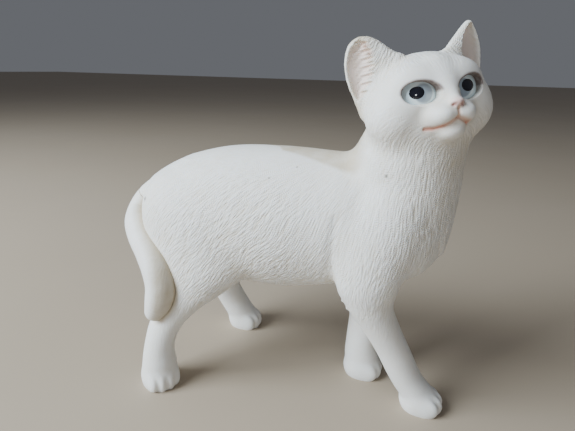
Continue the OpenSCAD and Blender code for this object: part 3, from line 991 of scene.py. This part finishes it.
def cream_plastic(name, painted=False):
    """Matte moulded plastic with warm painted shade in its creases and grooves and painted light on the
    ridges between grooves; the head's has its paint as well.
    """
    material, start = start_material(name)
    place = start.add("ShaderNodeTexCoord", output=3)
    groove, crease_shade = attribute(start, "groove"), attribute(start, "crease_shade")
    lay = start.add("ShaderNodeAttribute", {"attribute_name": "lay"}, output=1)
    hair = streaks(start, place, lay, 2.0 / HAIR_WIDTH, 2.8 * MM, 3.0, 7) * attribute(start, "depth")
    # Painted shade: warm beige in pressed grooves and in creases, with some random tone.
    deep = (groove * -0.55).clamp() + (crease_shade * 0.65) + (noise(start, place, 420.0) - 0.5) * 0.25
    # Painted shade on the tail and throat, and the back's yellower patch.
    shade_and_back_tint_share = attribute(start, "shade_and_back_tint") * (noise(start, place, 300.0) * 0.6 + 0.4)
    layers = [((noise(start, place, 90.0, 3.0) * 1.6 - 0.4).clamp(), CHALK_AND_RIDGE_LIGHT),
              (deep.clamp(0.0, 0.85), WARM_SHADE),
              # Painted light: lighter on the ridges between pressed grooves.
              ((groove * 0.5).clamp(), CHALK_AND_RIDGE_LIGHT),
              # Painted shade in the grooves of the fine hair streaks.
              ((hair * -0.40).clamp(), WARM_SHADE),
              (shade_and_back_tint_share.clamp(), SHADE_AND_BACK_TINT),
              (attribute(start, "bubble").clamp(0.0, 0.9), DIRT)]
    if painted:
        patchy = (noise(start, place, 1500.0) * 0.5 + 0.65).clamp()
        layers += [(attribute(start, "bowl") * 0.6, (0.80, 0.66, 0.62, 1)),
                   (attribute(start, "nose") * 0.75, (0.78, 0.52, 0.48, 1)),
                   (attribute(start, "lips") * 0.95, (0.66, 0.32, 0.24, 1)),
                   (attribute(start, "nostril") * 0.8, (0.45, 0.20, 0.19, 1)),
                   (attribute(start, "lash") * patchy, (0.16, 0.115, 0.105, 1))]
    colour = CREAM
    for share, tint in layers:
        colour = mixed(start, share, colour, tint)
    roughness = 0.50 + noise(start, place, 600.0, 3.0) * 0.16
    grain = noise(start, place, 3800.0, 2.0) + noise(start, place, 1300.0, 2.0) * 1.4
    normal = bump(start, 1.0, 0.10 * MM, grain * 0.12 + hair * 0.8)
    end_material(start, colour, roughness, normal, IOR=1.46, Subsurface_Weight=0.12,
                 Subsurface_Radius=(1.0, 0.75, 0.5), Subsurface_Scale=0.9 * MM, Specular_IOR_Level=0.42)
    return material


def eye_enamel():
    """Glossy pale blue, greyer towards the nose and brighter at its rim; the grey patch is partly iris and
    partly painted reflection, and the bright rim is painted reflection.
    """
    material, start = start_material("eye_enamel")
    place = start.add("ShaderNodeTexCoord", output=3)
    cloud = (noise(start, place, 700.0) * 1.4 - 0.2).clamp()
    blue = mixed(start, cloud, (0.83, 0.95, 1.0, 1), (0.88, 0.98, 1.0, 1))
    colour = mixed(start, attribute(start, "iris"), blue, (0.36, 0.43, 0.50, 1))
    # Painted reflection: the bright rim.
    colour = mixed(start, attribute(start, "rim"), colour, (0.66, 0.86, 0.95, 1))
    roughness = noise(start, place, 500.0) * 0.08 + 0.10
    normal = bump(start, 0.15, 0.02 * MM, noise(start, place, 900.0))
    end_material(start, colour, roughness, normal, IOR=1.5, Coat_Weight=0.6, Coat_Roughness=0.05)
    return material


def pupil_enamel():
    """Glossy black with a little blue in it."""
    material, start = start_material("pupil_enamel")
    place = start.add("ShaderNodeTexCoord", output=3)
    cloud = noise(start, place, 800.0)
    colour = mixed(start, cloud, (0.004, 0.004, 0.006, 1), (0.010, 0.011, 0.020, 1))
    normal = bump(start, 0.1, 0.02 * MM, cloud)
    end_material(start, colour, cloud * 0.06 + 0.05, normal, IOR=1.5, Coat_Weight=0.5, Coat_Roughness=0.03)
    return material


# ---------------------------------------------------------------- castings

COARSE = 1.0
MARGIN = 1.2                                # how far a skin runs past its box, to be cut back


def plane(axis, place, sign):
    """Parting plane across an axis, with the direction that is cut off."""
    way = np.zeros(3)
    way[axis] = sign
    return way * sign * place, tuple(way)


def front_field(p):
    return body_field(p, hind=False)


def rear_field(p):
    return body_field(p, head=False)


def head_and_neck(p):
    return join(neck(p), head_field(p), HEAD_SOFT)


def make_castings():
    """Every cast piece, by name."""
    fore, hind = plane(2, FORE_PART_Z, 1), plane(2, HIND_PART_Z, 1)
    ground = plane(2, 0.0, -1)
    plans = [
        ("front_body", front_field, 0.24,
         [plane(0, SPLIT_X, -1), plane(2, FORE_PART_Z, -1), plane(2, NECK_PART_Z, 1)]),
        ("rear_body", rear_field, 0.286, [plane(0, SPLIT_X, 1), plane(2, HIND_PART_Z, -1)]),
        ("head", head_and_neck, 0.17, [plane(2, NECK_PART_Z, -1)]),
        ("right_fore_leg", leg_field("right_fore"), 0.22, [fore, ground]),
        ("left_fore_leg", leg_field("left_fore"), 0.22, [fore, ground]),
        ("right_hind_leg", leg_field("right_hind"), 0.22, [hind, ground]),
        ("left_hind_leg", leg_field("left_hind"), 0.22, [hind, ground]),
        ("tail", tail_field, 0.24, [(tuple(tail_start[:3]), tuple(-tail_way))])]
    made = {}
    for name, field, step, cuts in plans:
        low, high = node_box(name)
        low, high = low - MARGIN, high + MARGIN
        if name == "rear_body":
            high[0] = SPLIT_X + MARGIN
        if name.endswith("leg"):
            high[2] = (FORE_PART_Z if "fore" in name else HIND_PART_Z) + MARGIN
        made[name] = make_casting(name, field, low, high, step * COARSE, cuts, name == "head")
    return made


# ---------------------------------------------------------------- eyes

def eye_points(side, rows):
    """Points given as (out of the eye, left, up) brought to where the stations are drawn."""
    middle, turned = eye_frame(side)
    return from_head(middle + np.asarray(rows, float) @ turned.T)


def disc_piece(name, side, rings, values):
    """A closed round piece: rings of points from its front middle to its back middle."""
    count = len(rings[1])
    points = np.vstack([rings[0][:1]] + list(rings[1:-1]) + [rings[-1][:1]])
    faces = []
    for i in range(count):
        j = (i + 1) % count
        faces.append((0, 1 + i, 1 + j))
        for r in range(len(rings) - 3):
            a = 1 + r * count
            faces.append((a + i, a + count + i, a + count + j, a + j))
        a = 1 + (len(rings) - 3) * count
        faces.append((a + i, len(points) - 1, a + j))
    mesh = bpy.data.meshes.new(name)
    mesh.from_pydata(((eye_points(side, points) - MIDDLE) * MM).tolist(), [], faces)
    for face in mesh.polygons:
        face.use_smooth = True
    for key, value in values(points).items():
        mesh.attributes.new(key, "FLOAT", "POINT").data.foreach_set("value", value.astype(np.float32))
    skin = bmesh.new()
    skin.from_mesh(mesh)
    bmesh.ops.recalc_face_normals(skin, faces=skin.faces[:])
    skin.to_mesh(mesh)
    skin.free()
    return new_object(name, mesh)


def round_ring(radius_left, radius_up, height, middle=(0.0, 0.0), count=56):
    """Ring of points around an axis out of the eye; height is a number or a function of (left, up)."""
    turn = 2 * math.pi * np.arange(count) / count
    left, up = middle[0] + radius_left * np.cos(turn), middle[1] + radius_up * np.sin(turn)
    out = height(left, up) if callable(height) else np.full(count, height)
    return np.stack([out, left, up], 1)


def on_dome(left, up):
    """Distance of the dome out of the eyeball's middle."""
    return np.sqrt(EYE_R ** 2 - left ** 2 - up ** 2)


def make_eye(name, side):
    """Domed insert; its glaze is greyer towards the nose, inside a bright rim: the grey is partly iris and
    partly painted reflection, the rim is painted reflection.
    """
    seat = EYE_R - EYE_DOME
    half = EYE_HALF + 0.12
    rings = [round_ring(half * t, half * t, on_dome) for t in np.linspace(0, 1, 25)]
    rings += [round_ring(half, half, seat - 0.6), round_ring(half * 0.97, half * 0.97, seat - 0.9),
              round_ring(0, 0, seat - 0.9)]

    def values(points):
        towards_nose = -points[:, 1] * side
        radius = np.hypot(towards_nose - 0.75, (points[:, 2] - 0.1) * 1.05)
        # Grey patch: partly iris, partly painted reflection.
        iris = np.clip((1.95 - radius) / 0.35, 0, 1)
        # Bright arc and rim: painted reflection.
        rim = bell(radius - 2.25, 0.28) * np.clip(towards_nose / 1.5, 0, 1)
        return {"iris": iris, "rim": np.maximum(rim, 0.6 * bell(radius - 2.9, 0.5) * (towards_nose < 0))}
    return disc_piece(name, side, rings, values)


def make_pupil(name, side):
    """A drop of enamel, a little proud of the dome."""
    middle = PUPIL_AT[side]
    wide, tall, proud = 1.33, 1.08, 0.10

    def ring(t, lift):
        return round_ring(wide * t, tall * t, lambda left, up: on_dome(left, up) + lift, middle)
    rings = [ring(t, proud * (1 - 0.8 * t * t)) for t in np.linspace(0, 0.98, 12)]
    rings += [ring(1.0, 0.02), ring(0.98, -0.25), ring(0, -0.25)]
    return disc_piece(name, side, rings, lambda points: {})


# ---------------------------------------------------------------- stage and light

def make_stage():
    """Plain floor and an even, weak sky."""
    mesh = bpy.data.meshes.new("floor")
    mesh.from_pydata([(-3, -3, 0), (3, -3, 0), (3, 3, 0), (-3, 3, 0)], [], [(0, 1, 2, 3)])
    floor = new_object("floor", mesh)
    material, start = start_material("floor")
    place = start.add("ShaderNodeTexCoord", output=3)
    colour = mixed(start, noise(start, place, 6.0), (0.36, 0.29, 0.21, 1), (0.40, 0.33, 0.25, 1))
    normal = bump(start, 0.1, 0.1 * MM, noise(start, place, 900.0))
    end_material(start, colour, noise(start, place, 40.0) * 0.1 + 0.6, normal)
    mesh.materials.append(material)
    world = bpy.data.worlds.new("studio")
    bpy.context.scene.world = world
    world.use_nodes = True
    world.node_tree.nodes["Background"].inputs["Color"].default_value = (0.82, 0.86, 0.95, 1)
    world.node_tree.nodes["Background"].inputs["Strength"].default_value = 0.165


def softbox(name, place, aim, size, power, tint):
    """Soft rectangular lamp turned towards a place."""
    data = bpy.data.lights.new(name, "AREA")
    data.shape = "RECTANGLE"
    data.size, data.size_y = size
    data.energy = power
    data.color = tint
    lamp = new_object(name, data)
    lamp.location = place
    lamp.rotation_euler = (Vector(aim) - Vector(place)).to_track_quat("-Z", "Y").to_euler()


# ---------------------------------------------------------------- the cat

make_camera()
castings = make_castings()
tree = stroke_tree()
plain, painted = cream_plastic("cream_plastic"), cream_plastic("cream_plastic_painted", painted=True)
for name, piece in castings.items():
    comb(piece, tree, painted if name == "head" else plain, STROKE_SEED)
    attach(piece, "root")
    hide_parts(name)
eye_coat, pupil_coat = eye_enamel(), pupil_enamel()
for side, word in ((-1, "right"), (1, "left")):
    for make, part, coat in ((make_eye, "eye", eye_coat), (make_pupil, "pupil", pupil_coat)):
        piece = make(word + "_" + part + "_enamel", side)
        piece.data.materials.append(coat)
        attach(piece, "root")
        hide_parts(word + "_" + part)

make_stage()
softbox("window", (-0.36, -0.30, 0.33), (0, 0, 0.045), (0.34, 0.34), 8.0, (0.81, 0.91, 1.0))
softbox("sky", (-0.15, 0.05, 0.55), (0, 0, 0.04), (0.4, 0.4), 0.5, (0.88, 0.94, 1.0))
softbox("glint", (0.20, -0.47, 0.11), (0.03, 0, 0.07), (0.08, 0.08), 0.34, (0.95, 0.98, 1.0))
